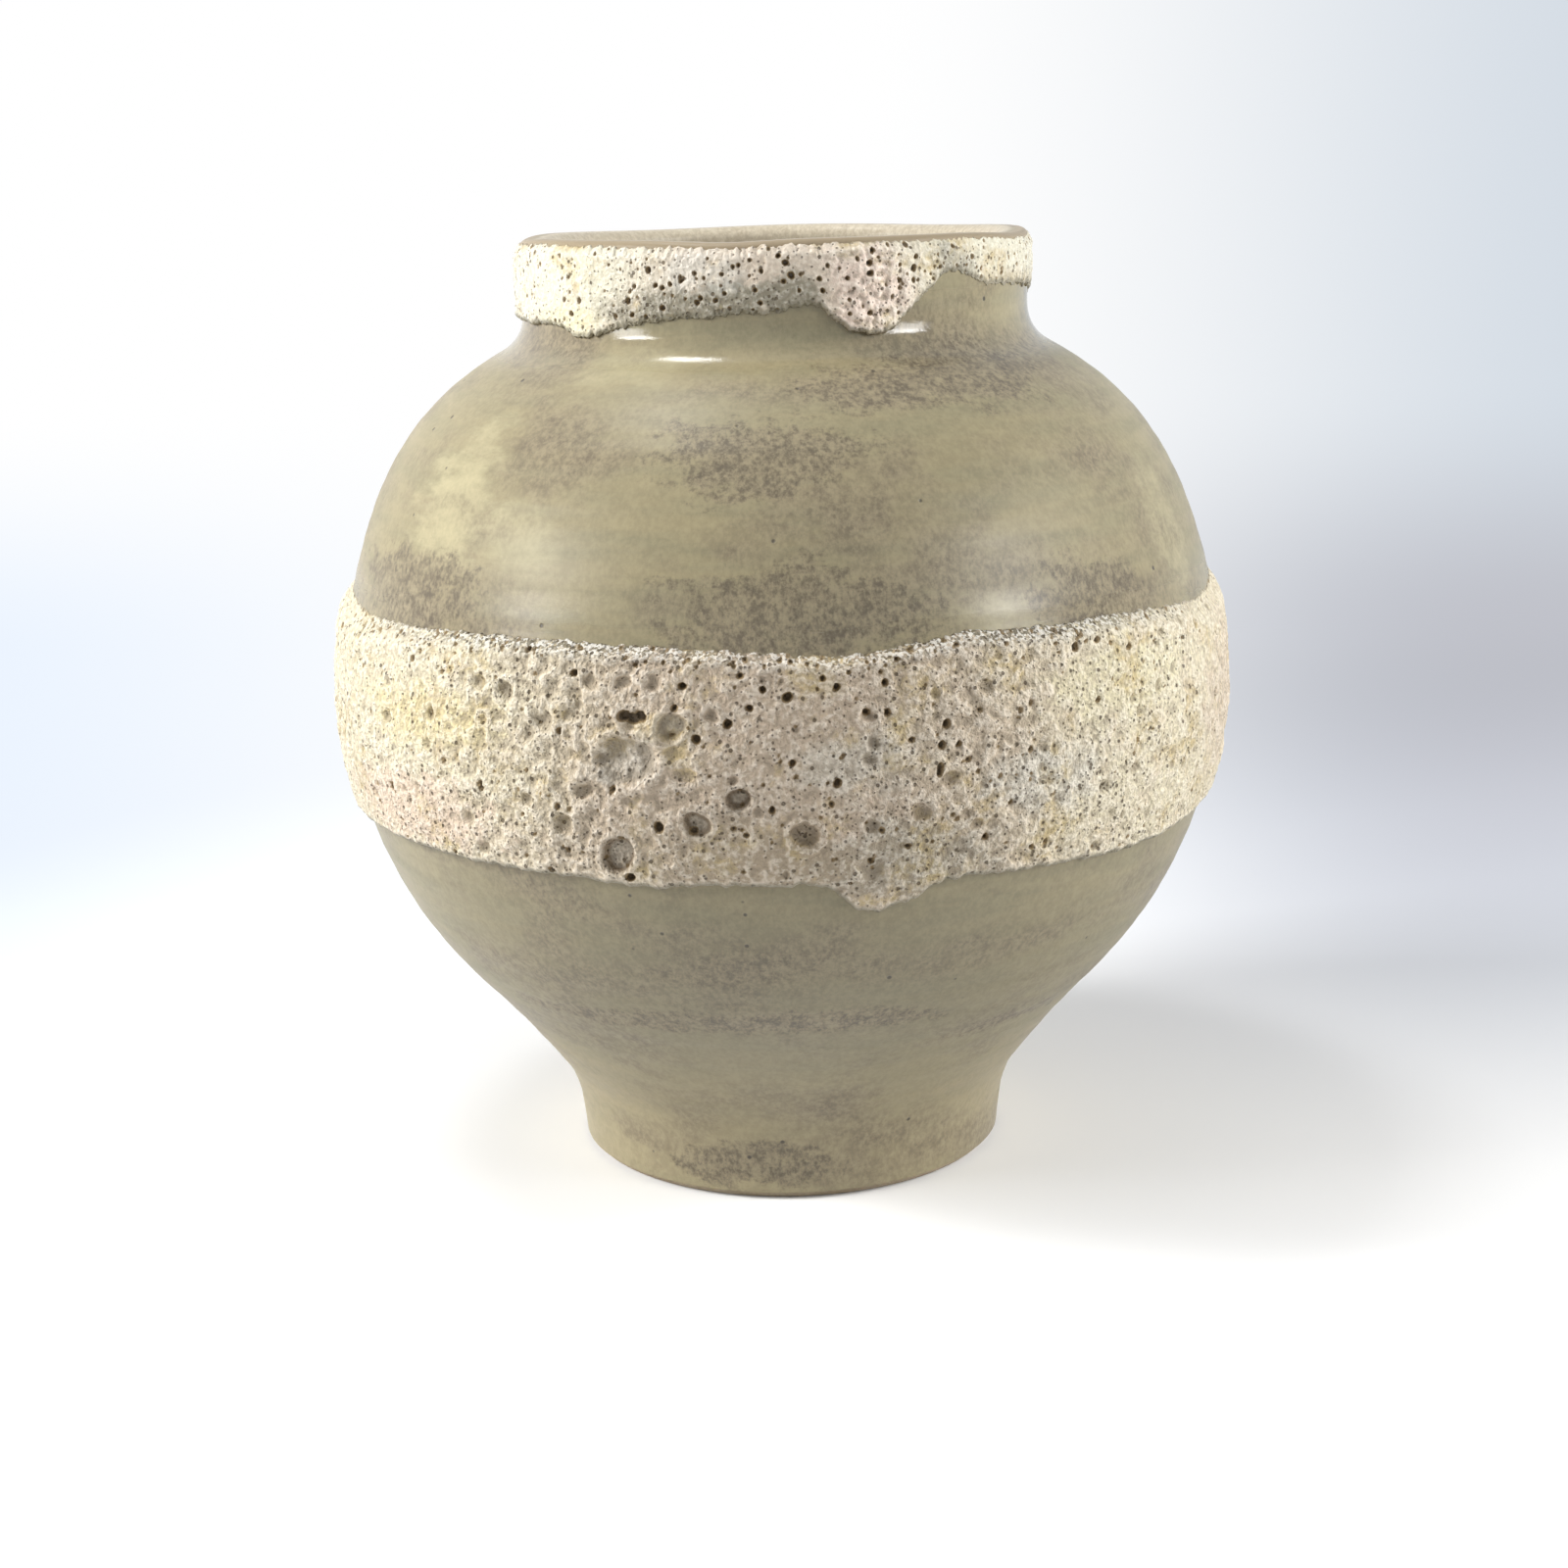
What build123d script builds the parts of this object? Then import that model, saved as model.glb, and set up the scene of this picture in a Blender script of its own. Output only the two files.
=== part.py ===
from build123d import *
import os
from math import cos, exp, radians, sin, sqrt

# A jar of thrown stoneware in the moon jar form: two bowls joined at the belly, a foot ring, a collar,
# a glossy base glaze and two rough bands of crater glaze. Millimetres, table at zero, jar's axis on Z,
# front towards -Y.

# Heights, each measured up from the one before, from the table to the top of the lip
foot_height = 15.5       # table to the corner where the wall leaves the foot
flare_rise = 28.5        # that corner to the end of the straight flare
belly_rise = 60.0        # end of the flare to the widest ring
shoulder_rise = 43.5     # widest ring to the turn of the shoulder
neck_rise = 30.8         # turn of the shoulder to the root of the collar
collar_height = 21.7     # root of the collar to the top of the lip

# Widths over the base glaze
foot_diameter = 93.4
waist_diameter = 96.6
belly_diameter = 189.6
neck_diameter = 107.0
flare_inset = 23.6       # end of the flare, in from the widest ring
shoulder_inset = 9.2     # turn of the shoulder, in from the widest ring
waist_fillet = 12.0
neck_fillet = 2.0

# Clay
wall = 5.0
floor_thickness = 9.0
floor_fillet = 14.0
lip_flat = 0.8           # flat left between the lip's two rounded edges
foot_ring_height = 11.0
foot_ring_width = 9.5
foot_round = 1.2
recess_depth = 6.0       # hollow under the floor, inside the foot ring

# Joints between the clay pieces
slip_layer = 0.6         # slip that lutes two clay pieces together
seam_bevel = 25.0        # slope of the belly seam and of the collar's seat, in degrees

# Base glaze
glaze = 0.8
bare_foot = 1.5          # wiped clean above the table
lip_glaze_depth = 3.2    # down from the top of the lip

# Crater glaze
belly_relief = 2.2       # proud of the base glaze
belly_band_above = 24.4  # upper edge, above the widest ring
belly_band_below = 21.4  # lower edge, below the widest ring
neck_relief = 1.3
neck_band_drop = 15.2    # lower edge, down from the top of the lip
crater_floor = 0.6       # least crater glaze left under a crater
lobe_room = 8.0          # belly band drawn this far past its level edges, for the lobes
edge_stretches = 4       # a wavy edge is drawn in this many stretches
stretch_steps = 30       # steps along each stretch

# Lobes of the wavy edges: angle from the front, half width in degrees, rise in millimetres.
# Angles run from the front towards the right hand.
belly_upper_lobes = [
    (5, 12, -2.0), (22, 5, 0.9), (68, 14, -2.2), (120, 16, -1.6),
    (175, 14, 1.2), (-140, 18, -1.8), (-100, 12, 0.8), (-62, 14, -1.6),
]
belly_lower_lobes = [
    (10.5, 4.6, -6.2), (48, 22, -2.2), (101, 7, -4.0), (164, 5, -5.4),
    (-152, 10, 1.2), (-112, 6, -3.4), (-17, 5, -0.9),
]
neck_lower_lobes = [
    (5, 5, 3.4), (20, 6.5, -4.6), (39, 6.5, 9.5), (66, 18, 3.6), (101, 6, -3.6), (128, 9, 4.0),
    (160, 6, -4.0), (-162, 10, 3.0), (-121, 6, -4.0), (-88, 10, -1.4), (-49, 5, -3.6), (-66, 14, -1.8),
]

# Larger craters of the belly band: angle from the front, height above the widest ring, diameter, depth
belly_craters = [
    (-19.4, -15.4, 8.5, 1.6), (-9.9, -8.5, 6.0, 1.3), (-5.2, -3.6, 4.9, 1.4), (2.1, -10.7, 6.6, 1.5),
    (-17.7, 3.4, 11.3, 0.9), (-17.1, 11.5, 4.6, 1.6), (-12.5, 10.0, 5.6, 1.0), (-14.2, -9.5, 2.8, 1.5),
    (9.5, -18.0, 6.0, 0.8), (-28.0, 10.8, 6.4, 0.8),
]
far_craters = 24         # further craters over the rest of the band, spread evenly
far_crater_start = 40.0  # degrees from the front to the first of them
far_crater_step = 11.0   # degrees between neighbours
far_crater_spread = 28.0
far_crater_large = 7.2
far_crater_small = 3.6
far_crater_depth = 1.3
golden_share = 0.618     # spreads the heights without a repeat

# Levels and radii that follow from the sizes above
flare_height = foot_height + flare_rise
belly_height = flare_height + belly_rise
shoulder_height = belly_height + shoulder_rise
neck_height = shoulder_height + neck_rise
rim_height = neck_height + collar_height
floor_height = recess_depth + floor_thickness
foot_radius = foot_diameter / 2
belly_radius = belly_diameter / 2
neck_radius = neck_diameter / 2
recess_radius = foot_radius - foot_ring_width
lip_round = (wall - lip_flat) / 2
past = belly_diameter    # how far a drawn region runs past the jar where only one side of it matters
arc_points = 13          # points on an arc of the section that is redrawn as a spline


def region(left, low, right, high):
    """A rectangle in the plane of the section, from its lowest to its highest corner."""
    return Pos(left, low) * Rectangle(right - left, high - low, align=(Align.MIN, Align.MIN))


def corner(section, point):
    """The corner of a section that lies nearest to a point."""
    return section.vertices().sort_by_distance((*point, 0))[0]


def within(inset):
    """The region inside the glazed outline, moved inwards by inset.

    It runs past the axis, the table and the rim, so that only the outline itself moves.
    """
    waist = (waist_diameter / 2, foot_height)
    flare = (belly_radius - flare_inset, flare_height)
    belly = (belly_radius, belly_height)
    shoulder = (belly_radius - shoulder_inset, shoulder_height)
    neck = (neck_radius, neck_height)
    below_foot = (foot_diameter - waist_diameter / 2, -foot_height)
    lower_belly = TangentArc(belly, flare, tangent=(0, -1))
    flare_wall = TangentArc(flare, waist, tangent=lower_belly % 1)
    upper_belly = TangentArc(belly, shoulder, tangent=(0, 1))
    crown = TangentArc(shoulder, neck, tangent=upper_belly % 1)
    surround = Polyline(
        neck,
        (neck_radius, rim_height + past),
        (-past, rim_height + past),
        (-past, -foot_height),
        below_foot,
        waist,
    )
    outline = make_face([lower_belly, flare_wall, upper_belly, crown, surround])
    outline = fillet(corner(outline, waist), waist_fillet)
    outline = fillet(corner(outline, neck), neck_fillet)
    return offset(outline, -inset) if inset else outline


def hollow_section():
    """The room inside the clay, running out past the rim.

    Moving its outline in and out again rounds the floor's corner, whichever edges meet there.
    """
    room = within(glaze + wall) & region(-past, floor_height, past, rim_height + past)
    return offset(offset(room, -floor_fillet), floor_fillet)


def clay_section():
    """All the clay as one section, running past the axis."""
    top = rim_height - glaze
    solid = within(glaze) & region(-past, 0, past, top)
    solid -= hollow_section()
    solid -= region(-recess_radius, 0, recess_radius, recess_depth)
    lip_outside = (neck_radius - glaze, top)
    lip_inside = (neck_radius - glaze - wall, top)
    solid = fillet(corner(solid, lip_outside), lip_round)
    solid = fillet(corner(solid, lip_inside), lip_round)
    foot_outside = (foot_radius - glaze, 0)
    foot_inside = (recess_radius, 0)
    solid = fillet(corner(solid, foot_outside), foot_round)
    return fillet(corner(solid, foot_inside), foot_round)


def seam_line(radius, height):
    """Place of a bevelled joint across the wall, its slope rising outwards."""
    return Pos(radius, height) * Rot(0, 0, seam_bevel)


def above_seam(radius, height, gap):
    """Everything further than gap above the middle of a bevelled joint."""
    return seam_line(radius, height) * region(-past, gap, past, past)


def clay_pieces(clay):
    """The sections of the four clay pieces and of the slip between them."""
    collar_seam = (neck_radius - glaze - wall / 2, neck_height)
    belly_seam = (belly_radius - glaze - wall / 2, belly_height)
    half_slip = slip_layer / 2
    foot = region(recess_radius, 0, past, foot_ring_height)
    foot_and_slip = region(recess_radius - slip_layer, 0, past, foot_ring_height + slip_layer)
    right_half = clay & region(0, 0, past, rim_height)
    from_collar = above_seam(*collar_seam, half_slip)
    from_neck_slip = above_seam(*collar_seam, -half_slip)
    from_upper_bowl = above_seam(*belly_seam, half_slip)
    from_belly_slip = above_seam(*belly_seam, -half_slip)
    return {
        "foot_ring": right_half & foot,
        "foot_slip": (right_half & foot_and_slip) - foot,
        "lower_bowl": right_half - foot_and_slip - from_belly_slip,
        "belly_slip": (right_half & from_belly_slip) - from_upper_bowl,
        "upper_bowl": (right_half & from_upper_bowl) - from_neck_slip,
        "neck_slip": (right_half & from_neck_slip) - from_collar,
        "neck_collar": right_half & from_collar,
    }


def glaze_pieces(clay):
    """The sections of the base glaze: two outside coats, the lip and the liner."""
    coat = offset(clay, glaze) - clay
    outside = coat - within(glaze)
    inside = coat & within(glaze + wall / 2)
    mid_floor = recess_depth + floor_thickness / 2
    lip_level = rim_height - lip_glaze_depth
    return {
        "lower_glaze": outside & region(0, bare_foot, past, belly_height),
        "shoulder_glaze": outside & region(0, belly_height, past, lip_level),
        "lip_glaze": coat & region(0, lip_level, past, rim_height),
        "liner_glaze": inside & region(0, mid_floor, past, lip_level),
    }


def redrawn(edge):
    """An arc whose circle reaches the axis as a spline, because its turned surface can't be cut cleanly."""
    if edge.geom_type != GeomType.CIRCLE or edge.arc_center.X > edge.radius:
        return edge
    shares = [step / (arc_points - 1) for step in range(arc_points)]
    points = [edge @ share for share in shares]
    ends = [(edge % 0) * edge.length, (edge % 1) * edge.length]
    return Edge.make_spline(points, tangents=ends, parameters=shares, scale=False)


def turned(section):
    """A section drawn as radius and height, turned about the jar's axis."""
    profile = make_face([redrawn(edge) for edge in section.edges()])
    return revolve(Plane.XZ * profile, axis=Axis.Z)


def place(angle, radius, height):
    """A point at an angle from the front, towards the right hand."""
    return (radius * sin(radians(angle)), -radius * cos(radians(angle)), height)


def wavy_height(angle, height, lobes):
    """Height of a wavy edge at an angle: its level plus the lobes that reach there."""
    total = height
    for centre, half_width, rise in lobes:
        away = (angle - centre + 180) % 360 - 180
        total += rise * exp(-((away / half_width) ** 2))
    return total


def stretches():
    """The angles of the points along each stretch of a wavy edge."""
    step = 360 / (edge_stretches * stretch_steps)
    starts = range(0, edge_stretches * stretch_steps, stretch_steps)
    return [[step * (start + point) for point in range(stretch_steps + 1)] for start in starts]


def edge_curve(angles, radius, height, lobes=()):
    """One stretch of an edge at a radius, level where it has no lobes."""
    points = [place(angle, radius, wavy_height(angle, height, lobes)) for angle in angles]
    return Edge.make_spline(points, parameters=angles)


def beyond_edge(radius, height, lobes, direction):
    """The space above a wavy edge for direction 1, or below it for direction -1, a block per stretch."""
    blocks = []
    for angles in stretches():
        inner = edge_curve(angles, radius - 2 * wall, height, lobes)
        outer = edge_curve(angles, radius + 2 * wall, height, lobes)
        sheet = Face.make_surface_from_curves(inner, outer)
        blocks.append(Solid.extrude(sheet, (0, 0, direction * past)))
    return blocks


def belly_surface(height):
    """Radius over the base glaze at a height above or below the widest ring."""
    inset, rise = (shoulder_inset, shoulder_rise) if height > 0 else (flare_inset, belly_rise)
    arc = (inset**2 + rise**2) / (2 * inset)
    return belly_radius - arc + sqrt(arc**2 - height**2)


def crater(angle, height, diameter, depth):
    """A ball that leaves a shallow round crater in the belly band."""
    depth = min(depth, belly_relief - crater_floor)
    ball = ((diameter / 2) ** 2 + depth**2) / (2 * depth)
    middle = belly_surface(height) + belly_relief - depth + ball
    seam_outwards = Rot(0, 0, angle - 90)
    return Pos(*place(angle, middle, belly_height + height)) * seam_outwards * Sphere(ball)


def spread_craters():
    """Angles, heights and sizes of the craters away from the front."""
    rows = []
    for step in range(far_craters):
        share = (step * golden_share) % 1
        angle = far_crater_start + step * far_crater_step
        diameter = far_crater_large - (far_crater_large - far_crater_small) * share
        height = far_crater_spread * (share - 0.5)
        rows.append((angle, height, diameter, far_crater_depth))
    return rows


def belly_band():
    """The rough band round the belly, with wavy edges, one long drip at the front and craters."""
    top = belly_height + belly_band_above
    bottom = belly_height - belly_band_below
    skin = within(-belly_relief) - within(0)
    band = turned(skin & region(0, bottom - lobe_room, past, top + lobe_room))
    band -= beyond_edge(belly_radius, top, belly_upper_lobes, 1)
    band -= beyond_edge(belly_radius, bottom, belly_lower_lobes, -1)
    return band - [crater(*row) for row in belly_craters + spread_craters()]


def neck_band():
    """The rough band round the collar, with a wavy lower edge and drips towards the shoulder."""
    inner = neck_radius
    outer = neck_radius + neck_relief
    top = rim_height - lip_glaze_depth
    bottom = rim_height - neck_band_drop
    faces = []
    for angles in stretches():
        curves = [
            edge_curve(angles, inner, bottom, neck_lower_lobes),
            edge_curve(angles, outer, bottom, neck_lower_lobes),
            edge_curve(angles, outer, top),
            edge_curve(angles, inner, top),
        ]
        for curve, following in zip(curves, curves[1:] + curves[:1]):
            faces.append(Face.make_surface_from_curves(curve, following))
    return Solid(Shell(faces))


def jar():
    """Every piece of the jar by name."""
    clay = clay_section()
    sections = clay_pieces(clay) | glaze_pieces(clay)
    pieces = {name: turned(section) for name, section in sections.items()}
    pieces["belly_crater_band"] = belly_band()
    pieces["neck_crater_band"] = neck_band()
    return pieces


os.makedirs("parts", exist_ok=True)
for name, piece in jar().items():
    export_step(piece, f"parts/{name}.step")
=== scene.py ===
from math import atan2, cos, pi, radians, sin

import bpy
import numpy as np
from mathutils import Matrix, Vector, noise


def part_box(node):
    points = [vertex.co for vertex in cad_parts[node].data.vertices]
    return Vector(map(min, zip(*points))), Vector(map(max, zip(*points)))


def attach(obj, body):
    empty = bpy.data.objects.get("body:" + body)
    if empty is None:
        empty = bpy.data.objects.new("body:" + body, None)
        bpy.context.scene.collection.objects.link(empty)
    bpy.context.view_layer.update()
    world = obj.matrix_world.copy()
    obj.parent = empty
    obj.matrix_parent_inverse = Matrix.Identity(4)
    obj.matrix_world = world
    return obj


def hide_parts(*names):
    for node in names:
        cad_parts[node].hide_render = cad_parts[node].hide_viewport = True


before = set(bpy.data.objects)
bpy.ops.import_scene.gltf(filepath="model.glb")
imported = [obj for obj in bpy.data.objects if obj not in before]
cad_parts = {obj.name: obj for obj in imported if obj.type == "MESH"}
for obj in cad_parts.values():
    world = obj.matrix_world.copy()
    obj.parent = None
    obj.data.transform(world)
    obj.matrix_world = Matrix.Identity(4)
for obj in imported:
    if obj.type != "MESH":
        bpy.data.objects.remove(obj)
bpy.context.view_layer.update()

# A stoneware moon jar. Lengths below are millimetres, angles are degrees from the front towards the
# right hand, and heights are above the table unless a line says otherwise.
mm = 0.001

# Levels and radii of the jar, read from the frame
belly_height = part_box("lower_glaze")[1].z / mm
belly_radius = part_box("lower_glaze")[1].x / mm
glaze_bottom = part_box("lower_glaze")[0].z / mm
neck_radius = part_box("lip_glaze")[1].x / mm
lip_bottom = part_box("lip_glaze")[0].z / mm
rim_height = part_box("lip_glaze")[1].z / mm

# Outline of the base glaze between those levels, as radius and height
foot_radius = 46.7
waist = (48.3, 15.5)
flare = (71.2, 44.0)
shoulder = (85.6, 147.5)
neck = (neck_radius, 178.3)
waist_reach = 8.0        # how far the rounding of the waist runs along each side
neck_reach = 6.5
glaze_thickness = 0.7
lip_width = 6.6
lip_round_outside = 1.4
lip_round_inside = 2.8

# How finely the turned coats are drawn
curve_steps = 60         # along each arc or straight of the outline
rounding_points = 25     # on a rounded corner of the outline
lip_points = 13          # on each of the lip's two arcs
outline_spacing = 0.4
coat_spacing = 1.1       # between the rings of a turned coat
coat_steps = 320
weld_distance = 0.001
sharp_angle = 50         # edges that bend more than this stay crisp

# Throwing marks: pitch and height, and how far from a coat's lower and upper end they fade out
ring_marks = [(7.3, 0.035), (3.4, 0.02), (17.0, 0.03)]
marks_fade_low = 6
marks_fade_high = 26

# Wavy edges of the crater glaze: angle, half width in degrees, rise
belly_top = belly_height + 24.4
belly_bottom = belly_height - 21.4
belly_upper_lobes = [
    (5, 12, -2.0), (22, 5, 0.9), (68, 14, -2.2), (120, 16, -1.6),
    (175, 14, 1.2), (-140, 18, -1.8), (-100, 12, 0.8), (-62, 14, -1.6),
]
belly_lower_lobes = [
    (9.5, 3.4, -6.0), (14.5, 3.2, -3.6), (48, 22, -2.2), (101, 7, -4.0), (164, 5, -5.4),
    (-152, 10, 1.2), (-112, 6, -3.4), (-17, 5, -0.9),
]
neck_top = rim_height - 1.0
neck_bottom = rim_height - 15.2
neck_lower_lobes = [
    (7, 5, 2.4), (-5, 10, 1.2), (-37, 8, -1.6), (-46, 7, -3.0), (-66, 14, -1.8), (-88, 10, -1.4),
    (16, 4.5, -2.2), (23, 5, -3.2), (40, 9, 6.6), (58, 16, 4.4), (82, 14, 3.0), (101, 6, -3.6),
    (128, 9, 4.0), (160, 6, -4.0), (-162, 10, 3.0), (-121, 6, -4.0),
]

# The hand-made lip dips a little: angle, half width in degrees, rise
lip_lobes = [(-11, 11, -0.55), (70, 16, -0.7), (-85, 15, -0.6), (135, 22, -0.4), (-150, 25, -0.5)]

# How thick the crater glaze is, how far its edges slope and how rough its foam is, at an angle, over a
# plain level: angle, half width, rise
belly_thickness = 2.05
belly_thickness_lobes = [(-88, 30, 0.5)]
belly_slope = 2.4
belly_slope_lobes = [(-76, 24, 4.0), (76, 24, 4.0)]
belly_rough = 0.25
belly_rough_lobes = [(-25, 14, 0.7), (23, 13, 0.6), (110, 40, 0.3), (-120, 40, 0.35)]
neck_thickness = 0.95
neck_thickness_lobes = [(18, 10, 0.8), (54, 16, -0.45), (-88, 40, 0.6)]
neck_bead = 1.3
neck_bead_lobes = [(-14, 16, 3.0), (56, 14, 4.5)]
neck_rough = 0.15
neck_rough_lobes = [(19, 9, 1.2), (-8, 12, 0.3), (36, 5, 0.6), (120, 40, 0.3), (-130, 40, 0.3)]

# How much glassy fringe, with its painted glints, the upper edges have, with the belly band's lobes over its
# plain level
belly_fringe = 0.5
belly_fringe_lobes = [(-28, 22, 0.5), (27, 20, 0.5), (-76, 20, -0.5), (76, 20, -0.5)]
neck_fringe = 0.1

# Marks in the belly band: angle, height above the widest ring, diameter, depth
craters = [(-19.4, -15.4, 7.4, 1.8), (-9.9, -8.5, 5.4, 1.4), (-5.2, -3.6, 4.8, 1.7)]
dishes = [(-17.7, 3.2, 11.4, 1.2), (-12.5, 10.0, 6.0, 0.9), (2.1, -10.7, 5.8, 1.5)]
dimples = [
    (9.5, -18.0, 6.0, 0.9), (-28.0, 10.4, 6.0, 0.9), (-37.3, 15.3, 4.6, 1.05), (-33.1, 14.3, 5.4, 1.35),
    (-22.0, 17.4, 4.2, 1.2), (-18.1, 17.7, 3.8, 1.05), (-14.6, 17.9, 3.8, 0.9), (-26.0, -10.1, 5.0, 1.5),
    (9.8, 6.3, 3.4, 0.9), (9.3, 3.0, 3.4, 0.9), (15.2, -7.5, 5.0, 1.2), (9.6, -9.5, 4.0, 1.05),
    (-30.5, -6.0, 4.0, 1.2), (-23.0, -3.0, 4.2, 1.05), (-11.0, 1.0, 5.0, 0.75), (18.5, -1.5, 4.5, 0.9),
    (22.0, -11.0, 3.6, 0.9),
]

# Pores: angle, height above the widest ring or the rim, diameter
belly_pores = [
    (-17.9, 11.7, 2.5), (-16.9, 11.2, 2.6), (-16.0, 11.7, 2.4), (-14.2, -9.2, 2.3), (-18.2, -19.8, 2.0),
    (0.4, 15.4, 2.1), (5.7, -0.8, 1.8), (0.8, 3.2, 1.4), (9.1, 12.1, 1.6), (5.9, 17.0, 1.5),
    (11.3, 17.3, 1.4), (18.2, 8.9, 1.8), (17.5, 5.1, 1.7), (19.5, 5.0, 1.4), (14.1, 6.5, 1.4),
    (-6.2, 10.6, 1.9), (-9.7, 7.7, 1.9), (-11.2, 17.5, 1.6), (-3.8, 13.5, 1.5), (-2.3, 16.8, 1.4),
    (-1.5, -5.6, 1.5), (-24.1, 19.0, 1.6), (35.9, 20.0, 1.9), (-54.6, -9.3, 1.9),
]
belly_pore_depth = 1.5
neck_pores = [
    (-59.3, -4.8, 1.2), (-48.6, -7.1, 1.2), (-26.6, -5.5, 1.7), (-19.0, -7.2, 1.3), (-21.8, -8.2, 1.3),
    (-25.1, -8.4, 1.3), (-31.7, -11.4, 1.7), (-30.2, -8.6, 1.2), (-47.8, -14.2, 1.6), (-45.3, -11.6, 1.7),
    (-50.1, -11.5, 1.4), (-63.9, -11.0, 1.4), (-16.1, -11.7, 1.4), (-23.6, -12.7, 1.6), (-10.3, -10.0, 1.2),
    (0.8, -3.1, 1.3), (2.2, -4.4, 1.7), (3.3, -6.8, 1.9), (20.2, -2.5, 1.4), (19.4, -4.9, 1.6),
    (19.4, -6.8, 1.7), (28.0, -1.7, 1.6), (29.7, -6.2, 1.8), (30.2, -4.0, 1.2), (26.3, -8.5, 1.2),
    (14.7, -7.6, 1.2), (49.9, -8.8, 1.3), (-30.9, -14.1, 1.3), (-12.2, -11.3, 1.3),
]
neck_pore_depth = 1.1
neck_pore_scale = 0.8    # the collar's pores are this much of the diameters above

# Tones of the base glaze
streak_light = (0.375, 0.32, 0.183)
streak_dark = (0.31, 0.278, 0.164)
cloud_tone = (0.315, 0.255, 0.175)
# The next two tones are painted light and shade: the foot paled as if lit from the bright floor, the
# underside darkened by its shade
foot_light_tone = (0.54, 0.45, 0.27)
underside_shade_tone = (0.232, 0.208, 0.134)
# Pale tone: partly the glaze's own colour, partly painted reflection of the lamps
pale_and_sheen_tone = (0.56, 0.50, 0.30)
grain_dark = (0.10, 0.078, 0.055)
grain_light = (0.335, 0.28, 0.178)
pinhole_tone = (0.06, 0.05, 0.04)
lip_tone = (0.34, 0.265, 0.17)
inner_lip_dark = (0.47, 0.40, 0.29)
inner_lip_light = (0.66, 0.59, 0.46)

# Pale patches of the base glaze, partly its own tone and partly painted reflection of the side lamps:
# strength, angle, height, half angle, half height
pale_and_sheen_patches = [
    (0.95, -49, 150, 10, 15), (0.4, 25, 132, 6, 5), (0.7, 62, 141, 6, 15), (0.6, -30, 176, 12, 4),
    (0.5, -36, 146, 8, 8), (0.25, 54, 186, 22, 7),
]
# Its brown clouds: angle, height, half angle, half height
brown_clouds = [
    (-54, 134, 20, 10), (-1, 161, 18, 9), (38, 174, 24, 7), (-12, 8, 26, 7), (40, 134, 13, 8),
    (3, 134, 22, 11), (16, 172, 16, 5), (0, 50, 26, 3.5), (-30, 48, 22, 3), (42, 42, 18, 3),
]

# Tones of the crater glaze
belly_middle = (0.60, 0.48, 0.357)
belly_side = (0.84, 0.755, 0.545)
neck_middle = (0.83, 0.715, 0.58)
neck_side = (0.82, 0.78, 0.61)
foam_pink = (0.78, 0.62, 0.48)
foam_grey = (0.54, 0.49, 0.38)
ochre_stain = (0.62, 0.47, 0.18)
sand_dark = (0.30, 0.24, 0.165)
# Painted highlight on the crests and painted shade in the hollows
crest_highlight = (0.95, 0.88, 0.76)
hollow_shade = (0.27, 0.22, 0.155)
# Crater wall tone: painted shade
crater_wall_shade = (0.20, 0.145, 0.09)
crater_floor_dark = (0.36, 0.31, 0.24)
crater_floor_light = (0.68, 0.60, 0.48)
# Fringe tones: the pale one is painted glints
fringe_glint = (0.93, 0.90, 0.83)
fringe_dark = (0.17, 0.15, 0.10)
pore_ring = (0.47, 0.35, 0.15)
fine_pore_dark = (0.10, 0.07, 0.035)
pore_side = (0.25, 0.165, 0.065)
pore_dark = (0.085, 0.058, 0.028)
# Lower edge line: painted shadow under the edge, partly darker glaze
edge_shadow_line = (0.22, 0.20, 0.14)

# Tinted places of the crater glaze: tone, strength, angle, height, half angle, half height
belly_tints = [
    ((0.66, 0.63, 0.54), 0.5, 8, 107, 7, 6), ((0.74, 0.71, 0.62), 0.7, 31, 100, 9, 7),
    ((0.40, 0.355, 0.27), 0.8, 14, 88, 12, 9), ((0.86, 0.72, 0.36), 0.65, -46, 111, 14, 7),
    ((0.60, 0.46, 0.20), 0.6, -14, 114, 5, 3), ((0.44, 0.35, 0.235), 0.7, -4, 89, 14, 9),
    ((0.88, 0.67, 0.52), 0.75, -52, 91, 20, 8), ((0.68, 0.545, 0.41), 0.75, 76, 104, 15, 20),
    ((0.62, 0.58, 0.50), 0.6, -17.7, 107.2, 4, 6), ((0.62, 0.58, 0.50), 0.6, -12.5, 114, 2, 3),
    ((0.88, 0.80, 0.52), 0.6, 42, 116, 14, 7),
]
neck_tints = [
    ((0.28, 0.255, 0.185), 1.0, -26, 186.0, 16, 5.5), ((0.28, 0.255, 0.185), 1.0, -9, 187.6, 13, 5.5),
    ((0.28, 0.255, 0.185), 1.0, 4, 188.8, 9, 5.5), ((0.94, 0.76, 0.64), 0.9, 19, 190, 10, 10),
    ((0.86, 0.84, 0.76), 0.5, -14, 194, 9, 4), ((0.88, 0.78, 0.47), 0.6, -50, 184, 12, 4),
    ((0.60, 0.52, 0.35), 0.9, 60, 189, 26, 3.6), ((0.42, 0.39, 0.30), 0.8, 40, 194.5, 8, 5),
]
# Where the fine pores lie denser or thinner: change, angle, height, half angle, half height
pore_density = [(0.14, 27, belly_height, 24, 40), (-0.4, 69, 150, 20, 80)]

# Two tones each of the bare clay, the slip and the liner glaze
clay_tones = (0.42, 0.33, 0.22), (0.50, 0.41, 0.29)
slip_tones = (0.45, 0.38, 0.28), (0.52, 0.45, 0.34)
liner_tones = (0.47, 0.40, 0.29), (0.63, 0.555, 0.44)

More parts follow.
